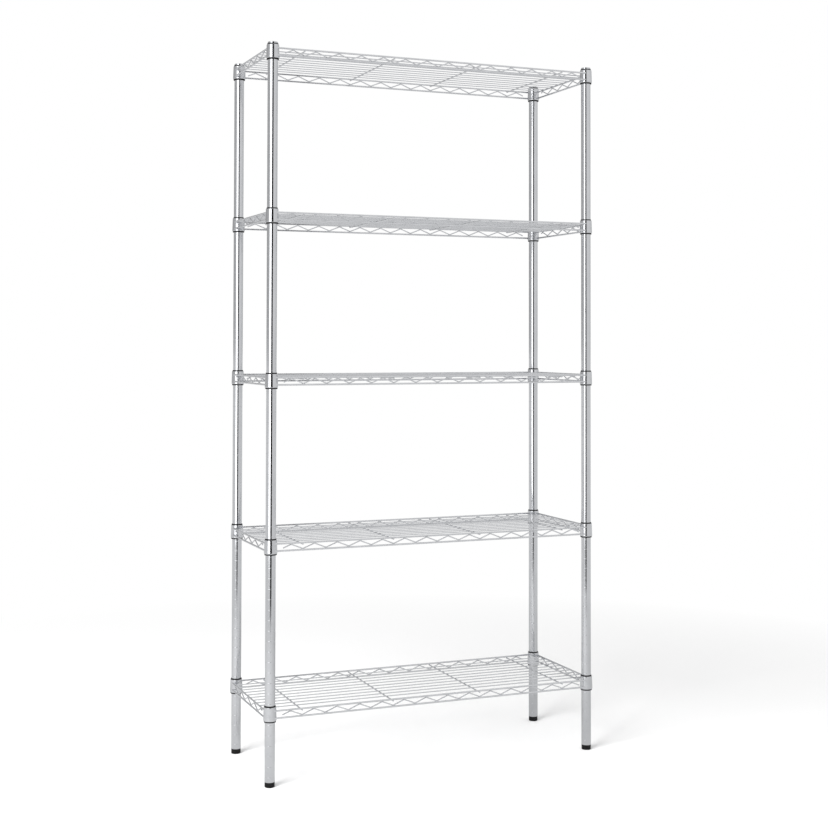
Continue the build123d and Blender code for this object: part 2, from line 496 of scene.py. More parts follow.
def math_node(tree: Tree, operation: str, *feeds: Socket | float) -> Socket:
    """Add a math node.

    Args:
        tree: where it goes.
        operation: what it works out.
        feeds: sockets or plain numbers for its inputs, in order.

    Returns:
        Its output.
    """
    made = node(tree, "Math", operation=operation)
    for entry, feed in zip(made.inputs, feeds):
        if isinstance(feed, bpy.types.NodeSocket):
            tree.links.new(feed, entry)
        else:
            entry.default_value = feed
    return made.outputs[0]


def ranged(
    tree: Tree,
    value: Socket,
    given: tuple[float, float] = (0.0, 1.0),
    wanted: tuple[float, float] = (0.0, 1.0),
) -> Socket:
    """Bring a value from one range to another, and keep it in there.

    Args:
        tree: where it goes.
        value: what to bring into range.
        given: ends of the range that it comes with.
        wanted: ends of the range that it leaves with.

    Returns:
        The result.
    """
    made = node(tree, "MapRange")
    ends = zip(("From Min", "From Max", "To Min", "To Max"), (*given, *wanted))
    for entry, number in ends:
        made.inputs[entry].default_value = number
    tree.links.new(value, made.inputs["Value"])
    return made.outputs["Result"]


class EffectGroup:
    """A shader group while it is being built, with a Vector and a Scale input."""

    def __init__(self, name: str, outputs: Sequence[str], **inputs: float | Colour) -> None:
        """Start the group.

        Args:
            name: its name.
            outputs: names of its outputs, all plain numbers.
            inputs: its further inputs, each with its first value.
        """
        self.tree = bpy.data.node_groups.new(name, "ShaderNodeTree")
        self.entry = self.tree.nodes.new("NodeGroupInput")
        self.result = self.tree.nodes.new("NodeGroupOutput")
        self.socket("Vector", "INPUT", "NodeSocketVector")
        for key, value in {"Scale": 100.0, **inputs}.items():
            kind = "NodeSocketVector" if isinstance(value, tuple) else "NodeSocketFloat"
            self.socket(key, "INPUT", kind).default_value = value
        for output in outputs:
            self.socket(output, "OUTPUT", "NodeSocketFloat")

    def socket(self, name: str, way: str, kind: str) -> bpy.types.NodeTreeInterfaceSocket:
        """Add a named input or output."""
        return self.tree.interface.new_socket(name=name, in_out=way, socket_type=kind)

    def given(self, name: str) -> Socket:
        """What comes in by one of the inputs."""
        return self.entry.outputs[name]

    def give(self, name: str, value: Socket) -> None:
        """Send a value out by one of the outputs."""
        self.tree.links.new(value, self.result.inputs[name])

    def textured(self, made: Node, vector: Socket | None = None) -> Node:
        """Feed a texture with the group's place and scale.

        Args:
            made: the texture node.
            vector: the place, if it isn't the group's own.

        Returns:
            The texture node.
        """
        place = self.given("Vector") if vector is None else vector
        self.tree.links.new(place, made.inputs["Vector"])
        self.tree.links.new(self.given("Scale"), made.inputs["Scale"])
        return made

    def noise(self, detail: float, vector: Socket | None = None, roughness: float = 0.5) -> Socket:
        """Add fractal noise.

        Args:
            detail: how many finer layers it has.
            vector: the place, if it isn't the group's own.
            roughness: how strong the finer layers are.

        Returns:
            The noise, from 0 to 1.
        """
        made = self.textured(node(self.tree, "TexNoise"), vector)
        made.inputs["Detail"].default_value = detail
        made.inputs["Roughness"].default_value = roughness
        return made.outputs["Fac"]


def plate_haze_group() -> Tree:
    """Soft cloudy patches of plating and handling haze, as a mask.

    Returns:
        The group.
    """
    group = EffectGroup("plate_haze", ["Mask"], Contrast=1.5)
    centred = math_node(group.tree, "SUBTRACT", group.noise(5.0, roughness=0.6), 0.5)
    patches = math_node(group.tree, "MULTIPLY", centred, group.given("Contrast"))
    lifted = math_node(group.tree, "ADD", patches, 0.5)
    lifted.node.use_clamp = True
    group.give("Mask", lifted)
    return group.tree


def hairline_group() -> Tree:
    """Fine polishing lines, stretched along one axis, as a height and a mask.

    Returns:
        The group.
    """
    group = EffectGroup("polish_hairlines", ["Height", "Mask"], Stretch=(1.0, 1.0, 1.0))
    pull = node(group.tree, "VectorMath", operation="MULTIPLY")
    group.tree.links.new(group.given("Vector"), pull.inputs[0])
    group.tree.links.new(group.given("Stretch"), pull.inputs[1])
    lines = group.noise(3.0, pull.outputs["Vector"])
    group.give("Height", lines)
    group.give("Mask", math_node(group.tree, "POWER", lines, 3.0))
    return group.tree


def settled_dust_group() -> Tree:
    """Light dust on upward faces, broken up by noise, as a mask.

    Returns:
        The group.
    """
    group = EffectGroup("settled_dust", ["Mask"], Amount=0.3)
    split = node(group.tree, "SeparateXYZ")
    geometry = node(group.tree, "NewGeometry")
    group.tree.links.new(geometry.outputs["Normal"], split.inputs["Vector"])
    upward = ranged(group.tree, split.outputs["Z"], given=(0.35, 1.0))
    broken = math_node(group.tree, "MULTIPLY", upward, group.noise(6.0))
    group.give("Mask", math_node(group.tree, "MULTIPLY", broken, group.given("Amount")))
    return group.tree


def mould_grain_group() -> Tree:
    """Spark-eroded grain of moulded plastic, as a height and a mask.

    Returns:
        The group.
    """
    group = EffectGroup("mould_grain", ["Height", "Mask"])
    cells = group.textured(node(group.tree, "TexVoronoi", feature="SMOOTH_F1"))
    fine = group.noise(4.0)
    group.give("Height", math_node(group.tree, "MULTIPLY", cells.outputs["Distance"], fine))
    group.give("Mask", fine)
    return group.tree


def worn_edge_group() -> Tree:
    """Sharp outer edges, as a mask that noise breaks up.

    Returns:
        The group.
    """
    group = EffectGroup("worn_edges", ["Mask"])
    geometry = node(group.tree, "NewGeometry")
    sharp = ranged(group.tree, geometry.outputs["Pointiness"], given=(0.52, 0.62))
    group.give("Mask", math_node(group.tree, "MULTIPLY", sharp, group.noise(4.0)))
    return group.tree


class Effects:
    """The shader groups that the finishes share, each built once."""

    def __init__(self) -> None:
        """Build the groups."""
        self.haze = plate_haze_group()
        self.hairlines = hairline_group()
        self.dust = settled_dust_group()
        self.grain = mould_grain_group()
        self.edges = worn_edge_group()

    @staticmethod
    def place(tree: Tree, group: Tree, vector: Socket, **values: float | Colour) -> Node:
        """Place a group in a material, with its own values.

        Args:
            tree: the material's nodes.
            group: the group to place.
            vector: the coordinates that it follows.
            values: its inputs.

        Returns:
            The group's node.
        """
        made = tree.nodes.new("ShaderNodeGroup")
        made.node_tree = group
        tree.links.new(vector, made.inputs["Vector"])
        for key, value in values.items():
            made.inputs[key].default_value = value
        return made


# ------------------------------------------------------------------------------ finishes


def new_material(name: str) -> tuple[Material, Tree, Node, Socket]:
    """Start a material.

    Args:
        name: its name.

    Returns:
        The material, its tree, its shader and its object coordinates.
    """
    material = bpy.data.materials.new(name)
    material.use_nodes = True
    tree = material.node_tree
    return material, tree, tree.nodes["Principled BSDF"], node(tree, "TexCoord").outputs["Object"]


def mixed_colour(tree: Tree, mask: Socket, low: Socket | Colour, high: Colour) -> Socket:
    """Mix a colour into another one, or into what came before.

    Args:
        tree: the material's nodes.
        mask: 0 for the first colour and 1 for the second.
        low: the first colour.
        high: the second colour.

    Returns:
        The mixed colour.
    """
    made = node(tree, "Mix", data_type="RGBA")
    tree.links.new(mask, made.inputs["Factor"])
    if isinstance(low, bpy.types.NodeSocket):
        tree.links.new(low, made.inputs["A"])
    else:
        made.inputs["A"].default_value = (*low, 1.0)
    made.inputs["B"].default_value = (*high, 1.0)
    return made.outputs["Result"]


def bumped(tree: Tree, shader: Node, height: Socket, strength: float, distance: float) -> None:
    """Feed a height into a shader's normal.

    Args:
        tree: the material's nodes.
        shader: the material's shader.
        height: the height, from 0 to 1.
        strength: how much of it shows.
        distance: how high 1 is, in metres.
    """
    bump = node(tree, "Bump")
    bump.inputs["Strength"].default_value = strength
    bump.inputs["Distance"].default_value = distance
    tree.links.new(height, bump.inputs["Height"])
    tree.links.new(bump.outputs["Normal"], shader.inputs["Normal"])


@dataclass(frozen=True)
class PlatedMetal:
    """A plated metal finish: polish lines, plating haze and a little dust on top."""

    name: str
    colour: Colour
    hazed: Colour  # its colour where haze lies
    polish: float  # roughness where it is clear
    haze: float  # roughness where haze lies
    haze_scale: float
    lines: Colour  # stretch of the polish lines on each axis
    line_strength: float
    dust: float = 0.12
    haze_contrast: float = 2.2
    line_scale: float = 900.0
    line_height: float = 0.02 * MM
    scuffing: float = 0.08
    dust_scale: float = 90.0
    dust_colour: Colour = (0.72, 0.72, 0.7)

    def material(self, effects: Effects) -> Material:
        """Build the finish's material.

        Args:
            effects: the shared shader groups.

        Returns:
            The material.
        """
        material, tree, shader, place = new_material(self.name)
        haze = effects.place(tree, effects.haze, place, Scale=self.haze_scale, Contrast=self.haze_contrast)
        lines = effects.place(tree, effects.hairlines, place, Scale=self.line_scale, Stretch=self.lines)
        dust = effects.place(tree, effects.dust, place, Scale=self.dust_scale, Amount=self.dust)
        plated = mixed_colour(tree, haze.outputs["Mask"], self.colour, self.hazed)
        dusty = mixed_colour(tree, dust.outputs["Mask"], plated, self.dust_colour)
        tree.links.new(dusty, shader.inputs["Base Color"])
        cloudy = ranged(tree, haze.outputs["Mask"], wanted=(self.polish, self.haze))
        scuffed = math_node(tree, "MULTIPLY_ADD", lines.outputs["Mask"], self.scuffing, cloudy)
        tree.links.new(scuffed, shader.inputs["Roughness"])
        bumped(tree, shader, lines.outputs["Height"], self.line_strength, self.line_height)
        shader.inputs["Metallic"].default_value = 1.0
        return material


@dataclass(frozen=True)
class MouldedPlastic:
    """A moulded plastic finish: grain, slightly paler worn edges and dust."""

    name: str
    colour: Colour
    worn: Colour  # its colour at worn edges
    gloss: float  # roughness between the grains
    dull: float  # roughness on them
    grain_scale: float
    dust: float
    edge_scale: float = 400.0
    dust_scale: float = 250.0
    dust_colour: Colour = (0.3, 0.3, 0.29)
    grain_strength: float = 0.35
    grain_height: float = 0.1 * MM
    shine: float = 0.18

    def material(self, effects: Effects) -> Material:
        """Build the finish's material.

        Args:
            effects: the shared shader groups.

        Returns:
            The material.
        """
        material, tree, shader, place = new_material(self.name)
        grain = effects.place(tree, effects.grain, place, Scale=self.grain_scale)
        edges = effects.place(tree, effects.edges, place, Scale=self.edge_scale)
        dust = effects.place(tree, effects.dust, place, Scale=self.dust_scale, Amount=self.dust)
        worn = mixed_colour(tree, edges.outputs["Mask"], self.colour, self.worn)
        dusty = mixed_colour(tree, dust.outputs["Mask"], worn, self.dust_colour)
        tree.links.new(dusty, shader.inputs["Base Color"])
        rough = ranged(tree, grain.outputs["Mask"], wanted=(self.gloss, self.dull))
        tree.links.new(rough, shader.inputs["Roughness"])
        bumped(tree, shader, grain.outputs["Height"], self.grain_strength, self.grain_height)
        shader.inputs["Specular IOR Level"].default_value = self.shine
        return material


POST_CHROME = PlatedMetal(
    "post_chrome", (0.66, 0.67, 0.69), (0.6, 0.61, 0.63), 0.06, 0.14, 14.0, (1.0, 1.0, 0.02), 0.08
)
WIRE_CHROME = PlatedMetal(
    "wire_chrome", (0.71, 0.72, 0.74), (0.62, 0.63, 0.65), 0.14, 0.3, 30.0, (1.0, 1.0, 1.0), 0.15
)
COLLAR_CHROME = PlatedMetal(
    "collar_chrome", (0.66, 0.67, 0.69), (0.58, 0.59, 0.61), 0.08, 0.18, 60.0, (0.05, 0.05, 1.0), 0.1
)
CAP_CHROME = PlatedMetal(
    "cap_plate", (0.7, 0.7, 0.71), (0.6, 0.6, 0.61), 0.12, 0.24, 90.0, (1.0, 1.0, 1.0), 0.1, 0.25
)
ZINC_PLATE = PlatedMetal(
    "zinc_plate", (0.55, 0.56, 0.57), (0.45, 0.46, 0.48), 0.25, 0.42, 120.0, (1.0, 1.0, 0.3), 0.3
)
SLEEVE_BLACK = MouldedPlastic(
    "sleeve_black", (0.003, 0.003, 0.0035), (0.008, 0.008, 0.0085), 0.4, 0.58, 1200.0, 0.01
)
FOOT_BLACK = MouldedPlastic(
    "foot_black", (0.005, 0.005, 0.0055), (0.02, 0.02, 0.021), 0.42, 0.62, 900.0, 0.04
)


# ------------------------------------------------------------------------------ the rack


def middle(node: str) -> Vector:
    """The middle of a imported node's box."""
    low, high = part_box(node)
    return (low + high) / 2


def extent(node: str) -> Vector:
    """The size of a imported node's box."""
    low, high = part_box(node)
    return high - low


@dataclass(frozen=True)
class RackPlan:
    """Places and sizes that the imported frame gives."""

    spots: dict[Corner, Vector]  # centre of each post, on the floor
    levels: list[float]  # height of the middle of each shelf's collars
    post_radius: float
    foot_top: float  # height where the pads end and the posts start
    joint: float  # height where the two sections of a post meet
    post_top: float

    @classmethod
    def read(cls) -> "RackPlan":
        """Read the plan from the frame.

        Returns:
            The plan.
        """
        spots = {corner: middle(f"post_lower_{corner.value}") * LEVEL for corner in Corner}
        shelves = sum(1 for name in frame["bodies"] if name.startswith("shelf_"))
        lowest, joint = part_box("post_lower_front_left")
        return cls(
            spots=spots,
            levels=[middle(f"shelf_{number}_collars").z for number in range(1, shelves + 1)],
            post_radius=extent("post_lower_front_left").x / 2,
            foot_top=lowest.z,
            joint=joint.z,
            post_top=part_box("post_upper_front_left")[1].z,
        )


@dataclass(frozen=True)
class GrooveRow:
    """The rolled grooves of a post, one every inch from the floor up."""

    pitch: float = 25.4 * MM
    depth: float = 0.1 * MM
    reach: float = 0.4 * MM  # from its middle to where it runs out
    shoulder: float = 0.25 * MM  # straight length beside it that is drawn on its own
    steps: int = 6
    end_share: float = 0.1  # of a pitch: how far past an end a groove still shows

    def outline(self, radius: float, bottom: float, top: float) -> Outline:
        """Work out the grooved outer line of a post between two heights.

        Args:
            radius: outer radius between the grooves.
            bottom: the lower height.
            top: the upper height.

        Returns:
            The points of the line, upwards.
        """
        edge = self.reach + self.shoulder
        rises = [(2 * step / self.steps - 1) * self.reach for step in range(self.steps + 1)]
        heights = {bottom, bottom + self.shoulder, top - self.shoulder, top}
        first = math.ceil(bottom / self.pitch - self.end_share)
        last = math.floor(top / self.pitch + self.end_share)
        for number in range(first, last + 1):
            for rise in (-edge, *rises, edge):
                height = number * self.pitch + rise
                if bottom < height < top:
                    heights.add(height)
        return [(radius - self.dip(height), height) for height in sorted(heights)]

    def dip(self, height: float) -> float:
        """Work out how far the surface is sunk at a height.

        Args:
            height: the height.

        Returns:
            The depth there.
        """
        off = abs(height - round(height / self.pitch) * self.pitch)
        if off >= self.reach:
            return 0.0
        return self.depth * (1 + math.cos(math.pi * off / self.reach)) / 2


@dataclass
class Posts:
    """Four posts, each of two grooved tubes, with a domed cap pressed into the upper one."""

    plan: RackPlan
    wall: float = 1.2 * MM
    end_round: float = 0.25 * MM
    sides: int = 48
    grooves: GrooveRow = GrooveRow()
    plug_gap: float = 0.05 * MM
    plug_wall: float = 1.2 * MM
    plug_round: float = 0.3 * MM
    cap_rim: float = 0.7 * MM
    rim_round: float = 0.3 * MM  # where the rim meets the dome
    rim_crown: float = 0.05 * MM  # how far the dome has risen there
    seat_round: float = 0.2 * MM
    dome_steps: int = 8

    def tube(self, bottom: float, top: float) -> Piece:
        """Model a grooved tube standing on the Z axis.

        Args:
            bottom: height of its lower end.
            top: height of its upper end.

        Returns:
            The tube.
        """
        radius = self.plan.post_radius
        bore = radius - self.wall
        soft = self.end_round
        outer = self.grooves.outline(radius, bottom + soft, top - soft)
        first, last = outer[0][0], outer[-1][0]
        outline = [(bore, bottom), (first - soft, bottom), *outer, (last - soft, top), (bore, top)]
        return turned([*outline, outline[0]], self.sides)

    def cap(self) -> Piece:
        """Model a cap: a low dome with a rolled rim, on a hollow plug.

        Returns:
            The cap.
        """
        low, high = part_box("post_caps")
        top, seat = high.z, self.plan.post_top
        radius = -low.x - abs(self.plan.spots[Corner.FRONT_LEFT].x)
        plug = self.plan.post_radius - self.wall - self.plug_gap
        rise = top - seat - self.cap_rim
        dome_round = (radius**2 + rise**2) / (2 * rise)
        reach = math.asin(radius / dome_round)
        dome = []
        for step in range(self.dome_steps + 1):
            turn = reach * (1 - step / self.dome_steps)
            dome.append((dome_round * math.sin(turn), top - dome_round * (1 - math.cos(turn))))
        dome[-1] = (0, top)
        soft = self.rim_round
        outline = [
            (0, seat),
            (plug - self.plug_wall, seat),
            (plug - self.plug_wall, low.z),
            (plug - self.plug_round, low.z),
            (plug, low.z + self.plug_round),
            (plug, seat),
            (radius - self.seat_round, seat),
            (radius, seat + self.seat_round),
            *rounded_corner(dome[0], Vector((0, -soft)), Vector((-soft, self.rim_crown)), 3)[:-1],
            *dome[1:],
        ]
        return turned(outline, self.sides)

    def build(self, chrome: Material, cap_plate: Material) -> None:
        """Model, dress and hang the posts and their caps.

        Args:
            chrome: finish of the tubes.
            cap_plate: finish of the caps.
        """
        plan = self.plan
        lower = self.tube(plan.foot_top, plan.joint)
        upper = self.tube(plan.joint, plan.post_top)
        for section, pattern in {"lower": lower, "upper": upper}.items():
            for corner, tube in stood_at(plan.spots, pattern):
                name = f"grooved_post_{section}_{corner}"
                finish_piece(tube, name, "posts", Slot.POST, chrome, f"post_{section}_{corner}")
        for corner, cap in stood_at(plan.spots, self.cap()):
            finish_piece(cap, f"domed_cap_{corner}", "posts", Slot.CAP, cap_plate, "post_caps")


@dataclass
class LevellingFeet:
    """Black pads on threaded studs, which screw into the feet of the posts."""

    plan: RackPlan
    floor_round: float = 2.5 * MM
    top_round: float = 0.5 * MM
    line_depth: float = 0.4 * MM
    line_width: float = 1.0 * MM
    stud_radius: float = 4.0 * MM
    lead: float = 0.8 * MM  # bare length at each end of the thread
    thread_pitch: float = 1.25 * MM
    thread_depth: float = 0.65 * MM
    head_flats: float = 11.0 * MM
    head_height: float = 5.0 * MM
    head_round: float = 0.4 * MM
    sides: int = 48
    stud_sides: int = 24
    thread_steps: int = 20

    def pad(self) -> Piece:
        """Model a pad: a thick disc with rounded edges and a line round its middle.

        Returns:
            The pad.
        """
        radius = extent("foot_pad_front_left").x / 2
        top = self.plan.foot_top
        low_line = (top - self.line_width) / 2
        high_line = (top + self.line_width) / 2
        sunk = radius - self.line_depth
        soft, edge, upper = self.line_width / 5, self.floor_round, self.top_round
        outline = [
            (0, 0),
            *rounded_corner((radius, 0), Vector((-edge, 0)), Vector((0, edge)), 6),
            (radius, low_line - soft),
            (radius - soft, low_line),
            (sunk, low_line + soft / 2),
            (sunk, high_line - soft / 2),
            (radius - soft, high_line),
            (radius, high_line + soft),
            *rounded_corner((radius, top), Vector((0, -upper)), Vector((-upper, 0))),
            (0, top),
        ]
        return turned(outline, self.sides)

    def stud(self) -> Piece:
        """Model a threaded stud with a hexagonal head, which the pad is moulded round.

        Returns:
            The stud.
        """
        low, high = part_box("foot_stud_front_left")
        neck = low.z + self.head_height
        root = self.stud_radius - self.thread_depth
        tip = self.lead / 2
        end = [(root, high.z - tip), (root - tip, high.z), (0, high.z)]
        core = turned([(0, neck), (root, neck), *end], self.stud_sides)
        deselect()
        bpy.ops.mesh.primitive_cylinder_add(
            vertices=6,
            radius=self.head_flats / math.sqrt(3),
            depth=self.head_height,
            location=(0, 0, low.z + self.head_height / 2),
        )
        bpy.ops.object.transform_apply(location=True, rotation=True, scale=True)
        edit(bpy.context.object)
        bpy.ops.mesh.bevel(offset=self.head_round, segments=2)
        head = close_up()
        return joined([core, head, self.thread(root, neck + self.lead, high.z - self.lead)])

    def thread(self, root: float, bottom: float, top: float) -> Piece:
        """Screw the thread's ridge up round the stud.

        Args:
            root: radius at the foot of the ridge.
            bottom: height where it starts.
            top: height that it stays below.

        Returns:
            The ridge.
        """
        pitch, crest = self.thread_pitch, self.stud_radius
        under = root - self.thread_depth / 3
        shares = ((under, 0.0), (root, 0.0), (crest, 0.42), (crest, 0.54), (root, 0.96), (under, 0.96))
        ridge = [(radius, bottom + pitch * share) for radius, share in shares]
        draw_outline([*ridge, ridge[0]])
        bpy.ops.mesh.remove_doubles(threshold=MERGE_GAP)
        bpy.ops.object.mode_set(mode="OBJECT")
        piece = bpy.context.object
        screw = piece.modifiers.new("thread", "SCREW")
        screw.axis = "Z"
        screw.screw_offset = pitch
        screw.iterations = int((top - bottom) / pitch) - 1
        screw.steps = screw.render_steps = self.thread_steps
        screw.use_merge_vertices = False
        bpy.ops.object.modifier_apply(modifier=screw.name)
        edit(piece)
        bpy.ops.mesh.select_all(action="DESELECT")
        bpy.ops.mesh.select_non_manifold()
        bpy.ops.mesh.fill_holes(sides=0)
        return close_up()

    def build(self, black: Material, zinc: Material) -> None:
        """Model, dress and hang the feet.

        Args:
            black: finish of the pads.
            zinc: finish of the studs.
        """
        patterns = {"pad": (self.pad(), Slot.FOOT, black), "stud": (self.stud(), Slot.ZINC, zinc)}
        for part, (pattern, slot, material) in patterns.items():
            for corner, piece in stood_at(self.plan.spots, pattern):
                name = f"levelling_{part}_{corner}"
                finish_piece(piece, name, f"foot_{corner}", slot, material, f"foot_{part}_{corner}")


@dataclass
class SplitSleeves:
    """Tapered plastic sleeves in two halves, which snap into a groove and carry the shelves."""

    plan: RackPlan
    bore_gap: float = 0.05 * MM
    top_wall: float = 1.15 * MM
    bottom_wall: float = 2.45 * MM
    ridge_width: float = 0.6 * MM
    ridge_depth: float = 0.1 * MM
    split_gap: float = 0.3 * MM
    tongue_height: float = 16.0 * MM
    tongue_length: float = 3.0 * MM
    tongue_gap: float = 0.2 * MM
    edge_round: float = 0.4 * MM
    steps: int = 24
    notch_steps: int = 3
    tongue_steps: int = 4

    def __post_init__(self) -> None:
        """Work out the bore and the half height."""
        self.bore = self.plan.post_radius + self.bore_gap
        self.half = extent("sleeve_halves_1_left").z / 2

    def outer(self, rise: float) -> float:
        """Outer radius, a height above the middle."""
        share = (rise + self.half) / (2 * self.half)
        return self.bore + self.bottom_wall + (self.top_wall - self.bottom_wall) * share

    def wall(self, bottom: float, top: float, ridged: bool = False) -> Outline:
        """Draw the wall between two heights, rounded where it reaches the sleeve's ends.

        Args:
            bottom: the lower height.
            top: the upper height.
            ridged: whether it has the ridge that snaps into the post's groove.

        Returns:
            The closed outline, without its first point again.
        """
        soft = self.edge_round
        low, high = (self.outer(bottom), bottom), (self.outer(top), top)
        outside = [low, high]
        if bottom <= -self.half:
            rounding = rounded_corner(low, Vector((-soft, 0)), Vector((0, soft)), 3)
            outside[:1] = [*rounding, (self.outer(bottom + 2 * soft), bottom + 2 * soft)]
        if top >= self.half:
            rounding = rounded_corner(high, Vector((0, -soft)), Vector((-soft, 0)), 3)
            outside[-1:] = [(self.outer(top - 2 * soft), top - 2 * soft), *rounding]
        points = [(self.bore, bottom), *outside, (self.bore, top)]
        if ridged:
            reach, deep = self.ridge_width / 2, self.bore - self.ridge_depth
            points += [(self.bore, 2 * reach), (deep, reach), (deep, -reach), (self.bore, -2 * reach)]
        return points

    def half_sleeve(self) -> Piece:
        """Model one half: its notch is at angle 0 and its tongue just past half a turn.

        Returns:
            The half, round the Z axis.
        """
        gap = self.split_gap / 2 / self.bore
        tongue = self.tongue_length / self.bore
        notch_end = gap + tongue + self.tongue_gap / self.bore
        reach = self.tongue_height / 2
        notch = reach + self.tongue_gap
        wall_end = math.pi - gap
        spans = [
            (self.wall(-self.half, self.half, ridged=True), self.steps, notch_end, wall_end),
            (self.wall(-self.half, -notch), self.notch_steps, gap, notch_end),
            (self.wall(notch, self.half), self.notch_steps, gap, notch_end),
            (self.wall(-reach, reach), self.tongue_steps, wall_end, wall_end + gap + tongue),
        ]
        return joined([part_turned(wall, steps, start, end - start) for wall, steps, start, end in spans])

    def build(self, black: Material) -> None:
        """Model, dress and hang the halves, four on the left and four on the right of each level.

        Args:
            black: their finish.
        """
        pattern = self.half_sleeve()
        halves = {}
        for side, corners in SIDES.items():
            around = []
            for spot in (self.plan.spots[corner] for corner in corners):
                outward = math.atan2(spot.y, spot.x)
                for turn in (0.0, math.pi):
                    piece = turned_round(copied(pattern), outward + QUARTER_TURN + turn)
                    around.append(shifted(piece, spot))
            halves[side] = joined(around)
        for number, level in enumerate(self.plan.levels, start=1):
            for side, four in halves.items():
                piece = copied(four, UP * level)
                name = f"split_sleeves_{number}_{side}"
                finish_piece(piece, name, "posts", Slot.SLEEVE, black, f"sleeve_halves_{number}_{side}")
        for used in [pattern, *halves.values()]:
            bpy.data.objects.remove(used)


@dataclass
class Collars:
    """A shelf's four tapered corner collars, rolled from strip, with a welded seam on the inner side."""

    plan: RackPlan
    wall: float = 1.4 * MM
    lip_in: float = 1.1 * MM  # how far the rounding of the lower end reaches into the wall
    lip_up: float = 2.2 * MM  # and how far it reaches along the collar
    rim_in: float = 0.5 * MM  # the same for the rounding of the upper end
    rim_up: float = 0.8 * MM
    bore_round: float = 0.3 * MM
    bare_end: float = 0.5 * MM  # drawn on its own between a rounding and the long straight
    seam_width: float = 1.6 * MM
    seam_rise: float = 0.25 * MM
    steps: int = 64

    def __post_init__(self) -> None:
        """Work out the radii and the half height."""
        spot = self.plan.spots[Corner.FRONT_LEFT]
        low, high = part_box("shelf_1_collars")
        self.half = (high.z - low.z) / 2
        self.bottom_radius = min(spot.x - low.x, spot.y - low.y)
        taper = SplitSleeves(self.plan)
        self.top_radius = self.bottom_radius - taper.outer(-self.half) + taper.outer(self.half)

    def radius(self, rise: float) -> float:
        """Outer radius, a height above the middle."""
        share = (rise + self.half) / (2 * self.half)
        return self.bottom_radius + (self.top_radius - self.bottom_radius) * share

    def ring(self) -> Piece:
        """Model one collar without its seam.

        Returns:
            The collar, round the Z axis.
        """
        half, thin = self.half, self.wall - self.lip_in
        straight = half - self.lip_up - self.bare_end
        wide_end, narrow_end = self.radius(-half), self.radius(half)
        lean = (wide_end - narrow_end) / (2 * half)
        up, down = Vector((-lean, 1)), Vector((lean, -1))
        bore_up, outward = Vector((0, self.bore_round)), Vector((thin, 0))
        outline = [
            *rounded_corner((wide_end - self.wall, -half), bore_up, outward, 3),
            *rounded_corner((wide_end, -half), Vector((-self.lip_in, 0)), up * self.lip_up, 7),
            (self.radius(-straight), -straight),
            (self.radius(straight), straight),
            *rounded_corner((narrow_end, half), down * self.rim_up, Vector((-self.rim_in, 0)), 5),
            *rounded_corner((narrow_end - self.wall, half), outward, -bore_up, 3),
        ]
        return turned([*outline, outline[0]], self.steps)

    def seam(self) -> Piece:
        """Model the weld bead along the outside of one collar.

        Returns:
            The bead, at angle 0.
        """
        reach = self.half - self.lip_up
        size = Vector((self.seam_rise * 4, self.seam_width, reach * 2))
        bead = drop(size, segments=10, rings=12, smooth_below=SMOOTH_BELOW)
        lean = math.atan2(self.radius(-reach) - self.radius(reach), 2 * reach)
        bead.data.transform(Matrix.Rotation(-lean, 4, "Y"))
        return shifted(bead, Vector((self.radius(0) - self.seam_rise, 0, 0)))

    def model(self) -> Piece:
        """Model the four collars at level 0.

        Returns:
            The collars with their seams.
        """
        ring = self.ring()
        collars = []
        for spot in self.plan.spots.values():
            inward = math.atan2(-spot.y, -spot.x)
            collars.append(shifted(copied(ring), spot))
            collars.append(shifted(turned_round(self.seam(), inward), spot))
        bpy.data.objects.remove(ring)
        return joined(collars)


@dataclass(frozen=True)
class WeldDrops:
    """Sizes of the drops of metal that the welds squeezed out."""

    deck_spill: float = 0.5 * MM  # deck wire on cross wire: past both wires
    deck_height: float = 1.1 * MM
    cross_spill: float = 0.7 * MM  # cross wire on rail: past the cross wire
    cross_length: float = 3.2 * MM
    cross_height: float = 1.2 * MM
    butt_thickness: float = 1.1 * MM  # deck wire against the rail at its end
    butt_spill: float = 0.8 * MM  # past the deck wire to its sides
    butt_rise: float = 0.3 * MM  # and in height
    truss_length: float = 4.2 * MM  # truss bend on rail
    truss_spill: float = 0.3 * MM
    truss_height: float = 1.1 * MM
    collar_width: float = 3.0 * MM  # rail on collar
    collar_height: float = 3.6 * MM


